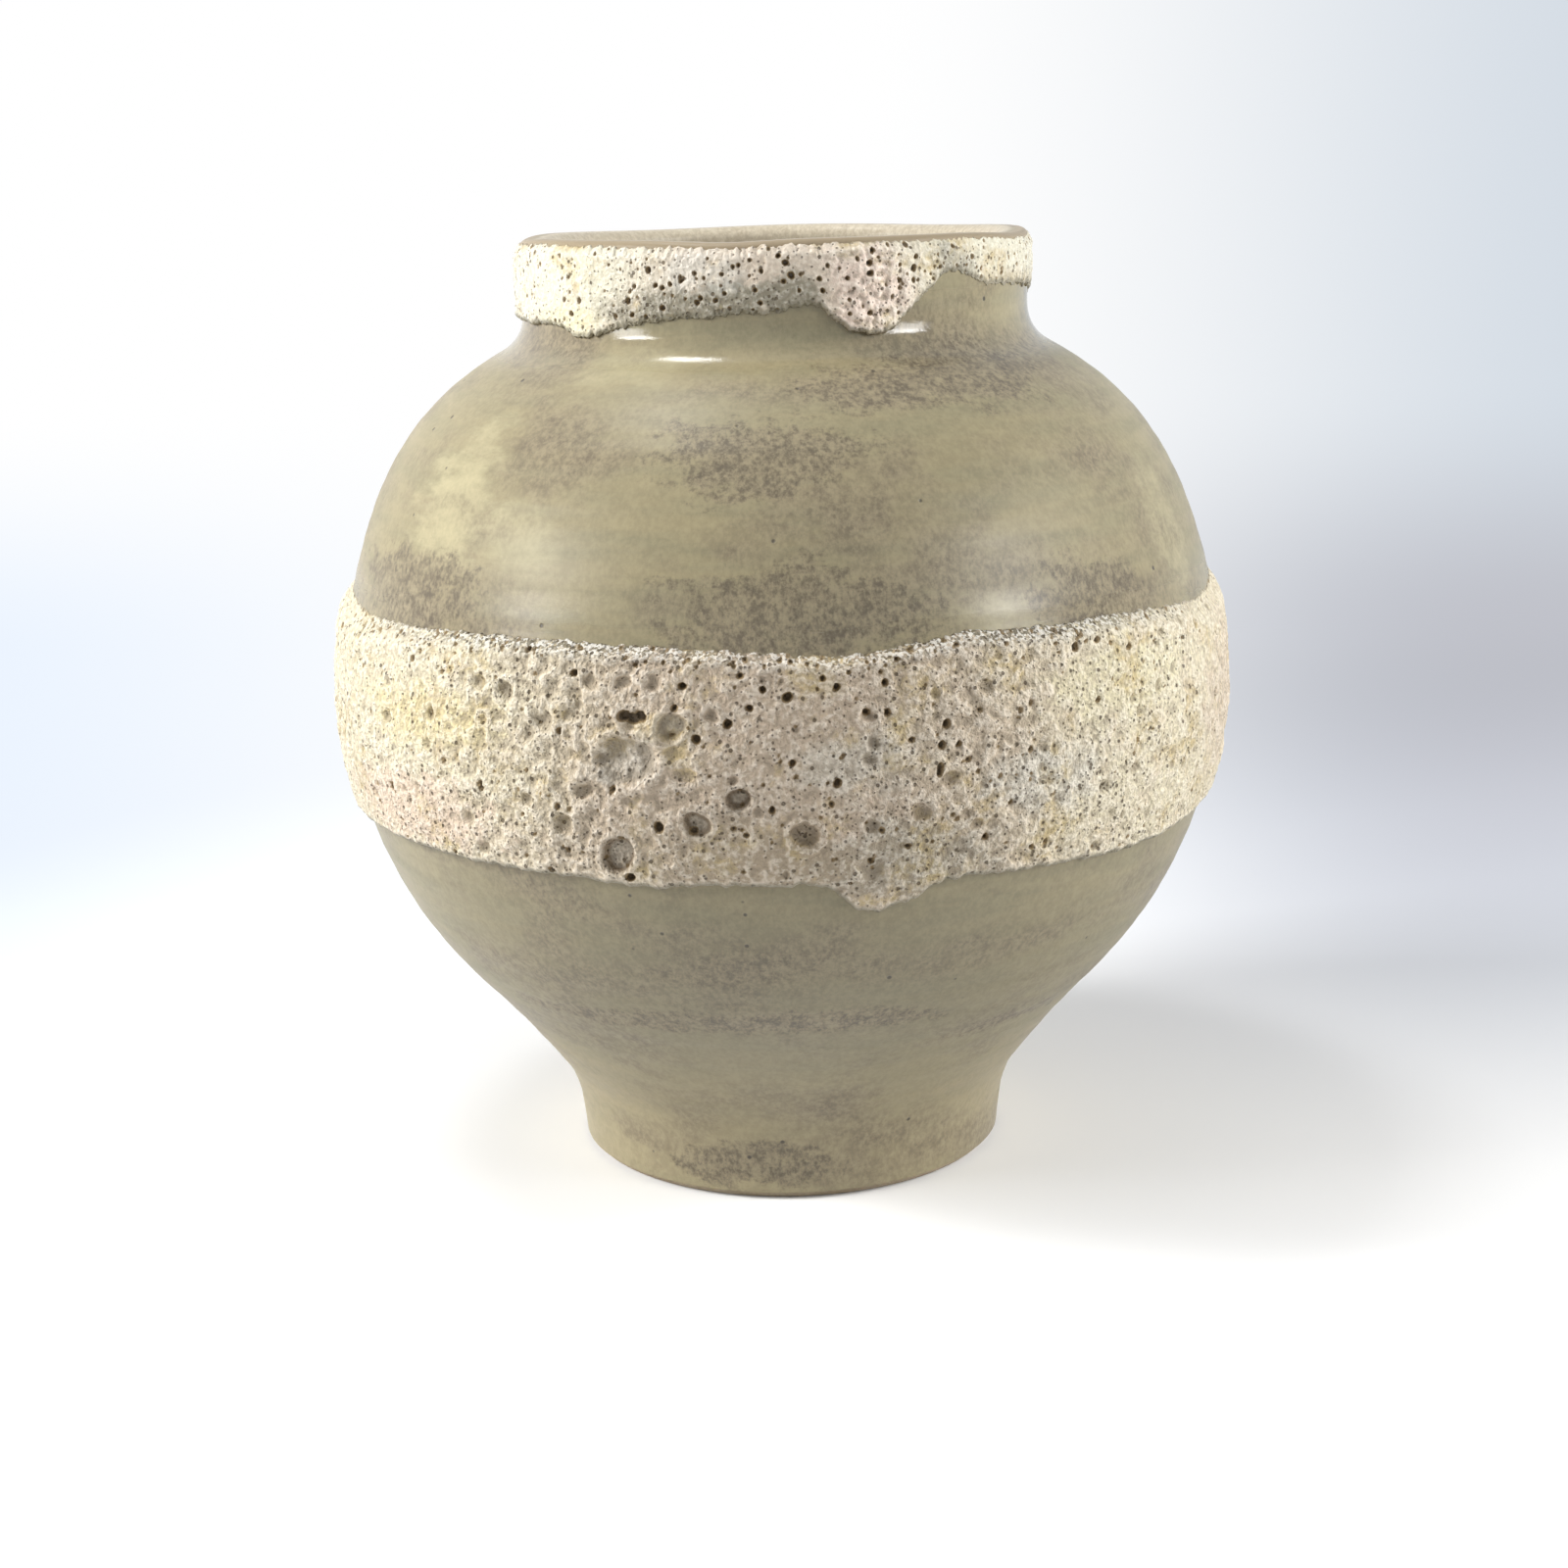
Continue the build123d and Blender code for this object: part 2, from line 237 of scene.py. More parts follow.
# The photograph's camera
camera_across = -0.24
camera_distance = 551.4
camera_height = 216.1
camera_tilt = 0.243      # how far it looks down, in radians
camera_roll = -0.021     # about its line of sight, in radians
sensor_width = 36
lens_length = 58.5

# The backdrop and the room's light
floor_radius = 8000
floor_shine = (200, 520)     # it starts to shine over this distance from the jar's axis
floor_shade = 0.03       # how much darker it is where it doesn't shine
bounce_grey = (0.62, 0.62, 0.62)
# Painted shade of the backdrop: grey to the right and in a level band, blue at its left
backdrop_right_shade = (0.66, 0.715, 0.78)
level_band_right_shade = (0.53, 0.54, 0.59)
level_band_left = (0.83, 0.90, 1.0)
room_light = (0.94, 0.97, 1.0)
room_strength = 0.18

# Lamps: name, angle, degrees up, distance, width and height in metres, power, and whether the glaze
# mirrors it
lamps = [
    ("left_panel", -84, 30, 1.0, 0.3, 0.3, 9.4, False),
    ("right_panel", 86, 28, 1.0, 0.45, 0.45, 7.3, False),
    ("left_lamp", -68, 20, 1.1, 0.30, 0.30, 2.2, True),
    ("left_glint", -65, 27, 1.1, 0.28, 0.10, 1.4, True),
    ("right_glint", 60, 25, 1.1, 0.24, 0.14, 1.2, True),
    ("right_lamp", 61, 19, 1.1, 0.30, 0.26, 2.0, True),
    ("top_lamp", -100, 72, 1.1, 0.22, 0.22, 2.3, True),
]
lamp_aim = Vector((0, 0, 0.1))   # in metres


def unit(vector):
    """The vector at length one."""
    vector = np.array(vector, float)
    return vector / np.linalg.norm(vector)


def arc(start, end, tangent):
    """Points on the arc that leaves start along tangent and ends at end, with the tangent there."""
    start, end, tangent = np.array(start), np.array(end), unit(tangent)
    chord = end - start
    normal = np.array((-tangent[1], tangent[0]))
    half_turn = atan2(chord @ normal, chord @ tangent)
    centre = start + normal * (chord @ chord) / (2 * (chord @ normal))
    turns = np.linspace(0, 2 * half_turn, curve_steps + 1)[:, None]
    spoke = start - centre
    across = np.array((-spoke[1], spoke[0]))
    end_tangent = tangent * cos(2 * half_turn) + normal * sin(2 * half_turn)
    return centre + spoke * np.cos(turns) + across * np.sin(turns), end_tangent


def straight(start, end):
    """Points on a straight line."""
    shares = np.linspace(0, 1, curve_steps + 1)[:, None]
    return np.array(start) * (1 - shares) + np.array(end) * shares


def rounded(line, corner, reach):
    """The line with a corner replaced by a smooth curve that starts and ends about reach from it."""
    near = np.flatnonzero(np.linalg.norm(line - np.array(corner), axis=1) < reach)
    before, after = line[near[0]], line[near[-1]]
    tangents = np.stack([before - line[near[0] - 1], line[near[-1] + 1] - after], axis=1)
    pull = before + tangents[:, 0] * np.linalg.solve(tangents, after - before)[0]
    shares = np.linspace(0, 1, rounding_points)[:, None]
    curve = before * (1 - shares) ** 2 + 2 * pull * shares * (1 - shares) + after * shares**2
    return np.vstack([line[:near[0]], curve, line[near[-1] + 1:]])


def spaced(line, spacing):
    """The same line with points at an even spacing."""
    lengths = np.concatenate([[0], np.cumsum(np.linalg.norm(np.diff(line, axis=0), axis=1))])
    wanted = np.linspace(0, lengths[-1], max(2, round(lengths[-1] / spacing) + 1))
    return np.stack([np.interp(wanted, lengths, line[:, axis]) for axis in (0, 1)], axis=1)


def jar_outline():
    """The outside of the base glaze from the table to the top of the collar, as radius and height."""
    belly = (belly_radius, belly_height)
    below, lower_tangent = arc(belly, flare, (0, -1))
    flare_wall, _ = arc(flare, waist, lower_tangent)
    above, upper_tangent = arc(belly, shoulder, (0, 1))
    crown, _ = arc(shoulder, neck, upper_tangent)
    foot = straight((foot_radius, 0), waist)
    collar = straight(neck, (neck_radius, rim_height))
    line = np.vstack([foot[:-1], flare_wall[:0:-1], below[:0:-1], above[:-1], crown[:-1], collar])
    line = spaced(line, outline_spacing)
    return rounded(rounded(line, waist, waist_reach), neck, neck_reach)


outline = jar_outline()


def base_radius(height):
    """Radius over the base glaze at a height, drawn in at the rounded lip."""
    radius = np.interp(height, outline[:, 1], outline[:, 0])
    round_bottom = rim_height - lip_round_outside
    over_lip = np.clip(height - round_bottom, 0, lip_round_outside * 0.98)
    return radius - lip_round_outside + np.sqrt(lip_round_outside**2 - over_lip**2)


def wavy(angles, level, lobes):
    """A level with lobes that rise over it or dip under it, at each angle."""
    total = np.full(np.shape(angles), float(level))
    for centre, half_width, rise in lobes:
        away = (angles - centre + 180) % 360 - 180
        total += rise * np.exp(-((away / half_width) ** 2))
    return total


def smooth(value, low, high):
    """A soft step from 0 at low to 1 at high."""
    share = np.clip((value - low) / (high - low), 0, 1)
    return share * share * (3 - 2 * share)


def beaded(above, width):
    """A round bead's profile: from 0 at an edge to 1 at a width from it."""
    return np.sqrt(1 - (1 - np.clip(above / width, 0, 1)) ** 2)


def lumps(points, size, seed):
    """Smooth noise from about -1 to 1 at each point, with lumps of a size."""
    away = Vector((seed * 17.3, seed * 5.1, seed * 9.7))
    flat = points.reshape(-1, 3) / size
    values = [noise.noise(Vector(point) + away) for point in flat.tolist()]
    return np.array(values).reshape(points.shape[:-1])


def cells(points, size, seed):
    """Distance to the middle of the nearest of scattered cells of a size, in cells, at each point."""
    away = Vector((seed * 11.9, seed * 7.7, seed * 3.3))
    flat = points.reshape(-1, 3) / size
    values = [noise.voronoi(Vector(point) + away)[0][0] for point in flat.tolist()]
    return np.array(values).reshape(points.shape[:-1])


def blurred(values, reach):
    """Values averaged with those up to reach places away along both axes."""
    for axis in (0, 1):
        values = sum(np.roll(values, shift, axis) for shift in range(-reach, reach + 1)) / (2 * reach + 1)
    return values


def around(angles, radius, heights):
    """Points at angles, radii and heights."""
    turns = np.radians(angles)
    spread = np.broadcast_arrays(radius * np.sin(turns), -radius * np.cos(turns), heights)
    return np.stack(spread, axis=-1)


# Modelling

def begin_edit():
    """Opens the new piece for editing with all of it selected."""
    bpy.ops.object.mode_set(mode="EDIT")
    bpy.ops.mesh.select_all(action="SELECT")


def end_edit():
    """Closes the piece that is being edited."""
    bpy.ops.object.mode_set(mode="OBJECT")


def weld():
    """Joins the points of the edited piece that lie in the same place."""
    bpy.ops.mesh.select_all(action="SELECT")
    bpy.ops.mesh.remove_doubles(threshold=weld_distance * mm)


def smooth_skin():
    """Turns the edited piece's faces outwards and shades them smooth."""
    bpy.ops.mesh.normals_make_consistent(inside=False)
    bpy.ops.mesh.faces_shade_smooth()


def turned(name, section):
    """A closed section of radius and height, drawn point by point and spun about the jar's axis."""
    bpy.ops.object.select_all(action="DESELECT")
    bpy.ops.mesh.primitive_plane_add(size=mm)
    piece = bpy.context.object
    piece.name = name
    begin_edit()
    bpy.ops.mesh.merge(type="CENTER")
    bpy.ops.transform.translate(value=(section[0][0] * mm, 0, section[0][1] * mm))
    for across, up in np.diff(np.vstack([section, section[:1]]), axis=0):
        bpy.ops.mesh.extrude_vertices_move(TRANSFORM_OT_translate={"value": (across * mm, 0, up * mm)})
    weld()
    bpy.ops.mesh.spin(steps=coat_steps, angle=2 * pi, center=(0, 0, 0), axis=(0, 0, 1))
    weld()
    smooth_skin()
    bpy.ops.mesh.select_all(action="DESELECT")
    bpy.ops.mesh.edges_select_sharp(sharpness=radians(sharp_angle))
    bpy.ops.mesh.mark_sharp()
    end_edit()
    return piece


def coordinates(piece):
    """The piece's points in millimetres."""
    flat = np.zeros(len(piece.data.vertices) * 3, np.float32)
    piece.data.vertices.foreach_get("co", flat)
    return flat.reshape(-1, 3).astype(float) / mm


def set_coordinates(piece, points):
    """Moves the piece's points, given in millimetres."""
    piece.data.vertices.foreach_set("co", (points.reshape(-1, 3) * mm).astype(np.float32).ravel())
    piece.data.update()


def coat_section(low, high):
    """The section of a base glaze coat between two heights, with throwing marks on the outside.

    The inside, which nobody sees, keeps every third point.
    """
    between = outline[(outline[:, 1] > low) & (outline[:, 1] < high)]
    ends = [[(base_radius(level), level)] for level in (low, high)]
    line = spaced(np.vstack([ends[0], between, ends[1]]), coat_spacing)
    along = np.gradient(line, axis=0)
    outwards = np.stack([along[:, 1], -along[:, 0]], axis=1) / np.linalg.norm(along, axis=1)[:, None]
    heights = line[:, 1]
    marks = sum(height * np.sin(2 * pi * heights / pitch + pitch) for pitch, height in ring_marks)
    fade = smooth(heights, low, low + marks_fade_low) * smooth(-heights, -high, -high + marks_fade_high)
    outer = line + outwards * (marks * fade)[:, None]
    inner = (line - outwards * glaze_thickness)[::-3]
    return np.vstack([outer, inner])


def glaze_coats():
    """The two outside coats of base glaze, which meet under the belly band."""
    lower = turned("lower_glaze_coat", coat_section(glaze_bottom, belly_height))
    upper = turned("shoulder_glaze_coat", coat_section(belly_height, lip_bottom))
    return lower, upper


def quarter(centre, radius, start, end):
    """Points on an arc from one angle in degrees to another, in the section's plane."""
    turns = np.radians(np.linspace(start, end, lip_points))
    return np.stack([centre[0] + radius * np.cos(turns), centre[1] + radius * np.sin(turns)], axis=1)


def lip_coat():
    """The glaze over the lip, crisp outside, rounder inside and slightly out of level."""
    inner_radius = neck_radius - lip_width
    outside = (neck_radius - lip_round_outside, rim_height - lip_round_outside)
    inside = (inner_radius + lip_round_inside, rim_height - lip_round_inside)
    lip = turned("lip_glaze_coat", np.vstack([
        [(neck_radius, lip_bottom)], quarter(outside, lip_round_outside, 0, 90),
        quarter(inside, lip_round_inside, 90, 180), [(inner_radius, lip_bottom)],
    ]))
    points = coordinates(lip)
    angles = np.degrees(np.arctan2(points[:, 0], -points[:, 1]))
    points[:, 2] += wavy(angles, 0, lip_lobes) * smooth(points[:, 2], lip_bottom, rim_height)
    set_coordinates(lip, points)
    return lip


# Crater glaze

class CraterRing:
    """A rough ring of crater glaze on the jar: a grid rolled round it, up the outside and down the back."""

    back_rows = 3
    sunk = 0.3               # how far the back lies under the base glaze's surface
    tucked = 0.1             # how far the front's first and last row lie under it
    finer_front = 0.4        # how much closer the columns are at the front, as a share
    finer_edges = 0.06       # how far the rows are drawn towards the edges, as a share of the height
    far = 2.0                # kept as the distance to a mark where none is near
    fringe_reach = (0.6, 3.6)    # from where to where the fringe fades, below the upper edge

    def __init__(self, name, columns, rows, lower, upper, seed):
        """Lower and upper are the edges: a level and its lobes."""
        bpy.ops.object.select_all(action="DESELECT")
        bpy.ops.mesh.primitive_grid_add(x_subdivisions=columns, y_subdivisions=rows + self.back_rows)
        self.piece = bpy.context.object
        self.piece.name = name
        self.seed = seed
        turns = np.arange(columns) * 2 * pi / columns - pi
        self.angles = np.degrees(turns - self.finer_front * np.sin(turns))[:, None]
        shares = np.linspace(0, 1, rows)
        shares = shares - self.finer_edges * np.sin(2 * pi * shares)
        self.lower = wavy(self.angles, *lower) + self.ragged(0)
        self.upper = wavy(self.angles, *upper) + self.ragged(1)
        self.heights = self.lower + (self.upper - self.lower) * shares
        self.base = base_radius(self.heights)
        self.points = around(self.angles, self.base, self.heights)
        self.above = self.heights - self.lower
        self.below = self.upper - self.heights
        self.relief = np.zeros(self.heights.shape)
        self.marks = {kind: np.full(self.heights.shape, self.far) for kind in ("pore", "crater")}

    def ragged(self, edge):
        """Small teeth along the lower edge, which is 0, or the upper one, which is 1."""
        ring = around(self.angles, belly_radius, 40.0 * edge)
        broad, narrow = lumps(ring, 3.4, self.seed + edge), lumps(ring, 1.2, self.seed + 2 + edge)
        return 0.4 * broad + 0.5 * narrow

    def hollow(self, angle, height, diameter, depth, wall, lip, kind=None):
        """Presses in a mark that is almost round.

        Wall is the share of its radius that the sloping side takes, and lip is how high its rim stands.
        """
        across = np.radians((self.angles - angle + 180) % 360 - 180)
        near = np.flatnonzero(np.abs(across[:, 0]) * self.base.max() < diameter)
        x = across[near] * self.base[near]
        y = self.heights[near] - height
        turn = np.arctan2(y, x)
        uneven = 1 + 0.09 * np.sin(2 * turn + angle) + 0.03 * np.sin(3 * turn + height)
        reach = diameter / 2 * uneven
        share = np.hypot(x, y) / reach
        rim = np.exp(-(((share - 1.12) / 0.16) ** 2))
        self.relief[near] += lip * rim - depth * (1 - smooth(share, 1 - wall, 1))
        if kind:
            self.marks[kind][near] = np.minimum(self.marks[kind][near], (share - 1) * reach)

    def scatter(self, count, least, most, low=0.02, high=0.98, depth=0.8, wall=0.6, kind="pore"):
        """Presses marks in at chance places between two shares of the ring's height, most of them small.

        Depth is a share of the mark's diameter.
        """
        chance = np.random.default_rng(self.seed + count)
        for _ in range(count):
            angle = chance.uniform(-180, 180)
            column = np.abs(self.angles[:, 0] - angle).argmin()
            share = chance.uniform(low, high)
            height = self.lower[column, 0] * (1 - share) + self.upper[column, 0] * share
            diameter = least + (most - least) * chance.uniform() ** 2.5
            self.hollow(angle, height, diameter, depth * diameter, wall, 0.05 * diameter, kind)

    def rolled(self, values):
        """Values for each column and row in the grid's order, whose last row and column meet the first."""
        closing = [(0, 1), (0, 1)] + [(0, 0)] * (values.ndim - 2)
        return np.pad(values, closing, mode="wrap").swapaxes(0, 1)

    def set_mark(self, name, values):
        """Keeps a number for each point, for the finish to read."""
        full = np.pad(values, ((0, 0), (0, self.back_rows)), mode="edge").astype(np.float32)
        layer = self.piece.data.attributes.new(name, "FLOAT", "POINT")
        layer.data.foreach_set("value", self.rolled(full).ravel())

    def close(self, fringe):
        """Moves the grid to the worked out shape, with its back just under the base glaze.

        Fringe is how much glassy fringe, with its painted glints, the upper edge has.
        """
        least = 0.15 + 0.2 * lumps(self.points, 1.1, self.seed)
        radius = self.base + np.maximum(self.relief, least)
        radius[:, [0, -1]] = self.base[:, [0, -1]] - self.tucked
        front = around(self.angles, radius, self.heights)
        shares = np.arange(self.back_rows, 0, -1) / (self.back_rows + 1)
        back_heights = self.lower + (self.upper - self.lower) * shares
        back = around(self.angles, base_radius(back_heights) - self.sunk, back_heights)
        set_coordinates(self.piece, self.rolled(np.concatenate([front, back], axis=1)))
        self.set_mark("hollow", smooth(blurred(self.relief, 3) - self.relief, -0.15, 0.25))
        self.set_mark("upper_edge", (1 - smooth(self.below, *self.fringe_reach)) * fringe)
        self.set_mark("above_edge", self.above)
        for name, values in self.marks.items():
            self.set_mark(name, values)
        begin_edit()
        weld()
        smooth_skin()
        end_edit()
        return self.piece


def belly_band():
    """The broad band round the belly, with craters, dishes, dimples, pores and one long drip."""
    ring = CraterRing(
        "belly_crater_glaze", columns=930, rows=100,
        lower=(belly_bottom, belly_lower_lobes), upper=(belly_top, belly_upper_lobes), seed=3,
    )
    bead = beaded(ring.above, 1.7)
    slope = smooth(ring.below, -0.5, wavy(ring.angles, belly_slope, belly_slope_lobes))
    rough = wavy(ring.angles, belly_rough, belly_rough_lobes) + 0.2 * lumps(ring.points, 24.0, 11)
    foam = 0.4 * (cells(ring.points, 2.6, 2) - 0.5) + 0.4 * lumps(ring.points, 1.5, 4)
    foam += 0.9 * lumps(ring.points, 3.4, 5)
    grain = 0.16 * lumps(ring.points, 1.0, 12)
    thickness = wavy(ring.angles, belly_thickness, belly_thickness_lobes) + 0.35 * lumps(ring.points, 7.0, 1)
    ring.relief = (thickness + np.maximum(rough, 0.1) * foam + grain) * bead * slope
    for angle, height, diameter, depth in craters:
        ring.hollow(angle, belly_height + height, diameter, depth, wall=0.34, lip=0.4, kind="crater")
    for angle, height, diameter, depth in dishes:
        ring.hollow(angle, belly_height + height, diameter, depth, wall=0.38, lip=0.5)
    for angle, height, diameter, depth in dimples:
        ring.hollow(angle, belly_height + height, diameter, depth, wall=0.8, lip=0.15)
    for angle, height, diameter in belly_pores:
        level = belly_height + height
        ring.hollow(angle, level, diameter, belly_pore_depth, wall=0.5, lip=0.06, kind="pore")
    ring.scatter(170, 2.0, 4.2, depth=0.24, wall=0.8, kind=None)
    ring.scatter(540, 0.7, 1.6)
    ring.scatter(260, 0.7, 1.0, low=0.94, high=0.995)
    return ring.close(wavy(ring.angles, belly_fringe, belly_fringe_lobes))


def neck_band():
    """The narrow band round the collar, thick on the left and in the drip, thin at the right."""
    ring = CraterRing(
        "neck_crater_glaze", columns=1240, rows=56,
        lower=(neck_bottom, neck_lower_lobes), upper=(neck_top, lip_lobes), seed=6,
    )
    bead = beaded(ring.above, wavy(ring.angles, neck_bead, neck_bead_lobes))
    slope = smooth(ring.below, -0.4, 2.0)
    rough = wavy(ring.angles, neck_rough, neck_rough_lobes)
    foam = 0.4 * (cells(ring.points, 2.1, 22) - 0.5) + 0.5 * lumps(ring.points, 1.4, 23)
    soft = 0.3 * lumps(ring.points, 4.2, 21) + 0.08 * lumps(ring.points, 0.9, 24)
    thickness = wavy(ring.angles, neck_thickness, neck_thickness_lobes)
    ring.relief = (thickness + soft + rough * foam) * bead * slope
    for angle, height, full_diameter in neck_pores:
        level = rim_height + height
        diameter = neck_pore_scale * full_diameter
        ring.hollow(angle, level, diameter, neck_pore_depth, wall=0.5, lip=0.06, kind="pore")
    ring.scatter(320, 0.6, 1.2)
    return ring.close(neck_fringe)


# Finishes

class Value:
    """A number that changes over a surface. Sums and products of values add Math nodes."""

    def __init__(self, finish, socket):
        self.finish = finish
        self.socket = socket

    def math(self, operation, *others):
        """A Math node's result, with this number as the first of those that go in."""
        return self.finish.math(operation, self, *others)

    def __add__(self, other):
        return self.math("ADD", other)

    def __sub__(self, other):
        return self.math("SUBTRACT", other)

    def __mul__(self, other):
        return self.math("MULTIPLY", other)

    def __truediv__(self, other):
        return self.math("DIVIDE", other)

    def __rsub__(self, other):
        return self.finish.math("SUBTRACT", other, self)

    def __rtruediv__(self, other):
        return self.finish.math("DIVIDE", other, self)

    __radd__ = __add__
    __rmul__ = __mul__


class Nodes:
    """A node tree and the ways to add nodes to it."""

    def __init__(self, tree):
        self.tree = tree
        tree.nodes.clear()

    def node(self, kind, settings=None, sockets=None):
        """Adds a node, with its settings first and then the values or links of its sockets."""
        made = self.tree.nodes.new(kind)
        for name, setting in (settings or {}).items():
            setattr(made, name, setting)
        for key, value in (sockets or {}).items():
            self.set(made.inputs[key], value)
        return made

    def set(self, socket, value):
        """Gives a socket a value, a link or a colour."""
        if isinstance(value, Value):
            value = value.socket
        if isinstance(value, bpy.types.NodeSocket):
            self.tree.links.new(value, socket)
        elif isinstance(value, tuple) and len(value) == 3 and socket.type == "RGBA":
            socket.default_value = (*value, 1)
        else:
            socket.default_value = value

    def math(self, operation, *values):
        """A Math node's result."""
        made = self.node("ShaderNodeMath", {"operation": operation}, dict(enumerate(values)))
        return Value(self, made.outputs[0])

    def step(self, value, low, high):
        """A soft step from 0 at low to 1 at high."""
        sockets = {0: value, 1: low, 2: high, 3: 0.0, 4: 1.0}
        made = self.node("ShaderNodeMapRange", {"interpolation_type": "SMOOTHSTEP"}, sockets)
        return Value(self, made.outputs[0])

    def mix(self, share, first, second):
        """A colour between two others."""
        made = self.node("ShaderNodeMix", {"data_type": "RGBA"}, {0: share, 6: first, 7: second})
        return made.outputs[2]

    def seen(self):
        """One for rays from the camera or a glossy or clear surface, else nought."""
        path = self.node("ShaderNodeLightPath")
        kinds = ("Camera", "Glossy", "Transmission")
        camera, glossy, clear = (Value(self, path.outputs[f"Is {kind} Ray"]) for kind in kinds)
        return camera.math("MAXIMUM", glossy).math("MAXIMUM", clear)


class Finish(Nodes):
    """A material, with places on the jar in millimetres and degrees."""

    def __init__(self, name):
        self.material = bpy.data.materials.new(name)
        self.material.use_nodes = True
        super().__init__(self.material.node_tree)
        self.shader = self.node("ShaderNodeBsdfPrincipled")
        self.output = self.node("ShaderNodeOutputMaterial", {}, {"Surface": self.shader.outputs[0]})
        self.metres = self.node("ShaderNodeTexCoord").outputs["Object"]
        self.place = self.stretched((1, 1, 1))
        axes = self.node("ShaderNodeSeparateXYZ", {}, {0: self.place})
        self.across, self.back, self.height = (Value(self, socket) for socket in axes.outputs)
        self.radius = (self.across * self.across + self.back * self.back).math("SQRT")
        self.angle = self.math("ARCTAN2", self.across, self.back * -1) * (180 / pi)

    def stretched(self, factors):
        """The place on the piece in millimetres, scaled along each axis."""
        scaled = {0: self.metres, 1: tuple(factor / mm for factor in factors)}
        return self.node("ShaderNodeVectorMath", {"operation": "MULTIPLY"}, scaled).outputs[0]

    def noise(self, size, place=None, detail=4.0, roughness=0.6):
        """Cloudy noise from 0 to 1 with clouds of a size."""
        sockets = {
            "Vector": place or self.place, "Scale": 1 / size, "Detail": detail, "Roughness": roughness,
        }
        return Value(self, self.node("ShaderNodeTexNoise", {}, sockets).outputs[0])

    def cells(self, size):
        """Millimetres to the middle of the nearest of scattered cells, and a chance number for each cell."""
        made = self.node("ShaderNodeTexVoronoi", {}, {"Vector": self.place, "Scale": 1 / size})
        chance = self.node("ShaderNodeSeparateColor", {}, {0: made.outputs["Color"]})
        return Value(self, made.outputs["Distance"]) * size, Value(self, chance.outputs[0])

    def mark(self, name):
        """A number kept on the piece's points."""
        return Value(self, self.node("ShaderNodeAttribute", {"attribute_name": name}).outputs["Fac"])

    def near(self, value, middle, inner, outer):
        """One up to a distance from the middle, and nought from a greater distance on."""
        return 1 - self.step((value - middle).math("ABSOLUTE"), inner, outer)

    def patch(self, angle, height, half_angle, half_height, ragged):
        """A soft-edged patch at a place on the jar."""
        across = (self.angle - angle) / half_angle
        up = (self.height - height) / half_height
        away = (across * across + up * up).math("SQRT") + (ragged - 0.5) * 2.2
        return 1 - self.step(away, 0.45, 1.15)

    def bump(self, height, depth):
        """A normal from a height from 0 to 1 that stands for a depth in millimetres."""
        sockets = {"Height": height, "Distance": depth * mm, "Strength": 1.0}
        return self.node("ShaderNodeBump", {}, sockets).outputs[0]

    def give(self, **sockets):
        """Sets the shader's sockets by name, with _ for a space."""
        for name, value in sockets.items():
            self.set(self.shader.inputs[name.replace("_", " ")], value)
        return self.material


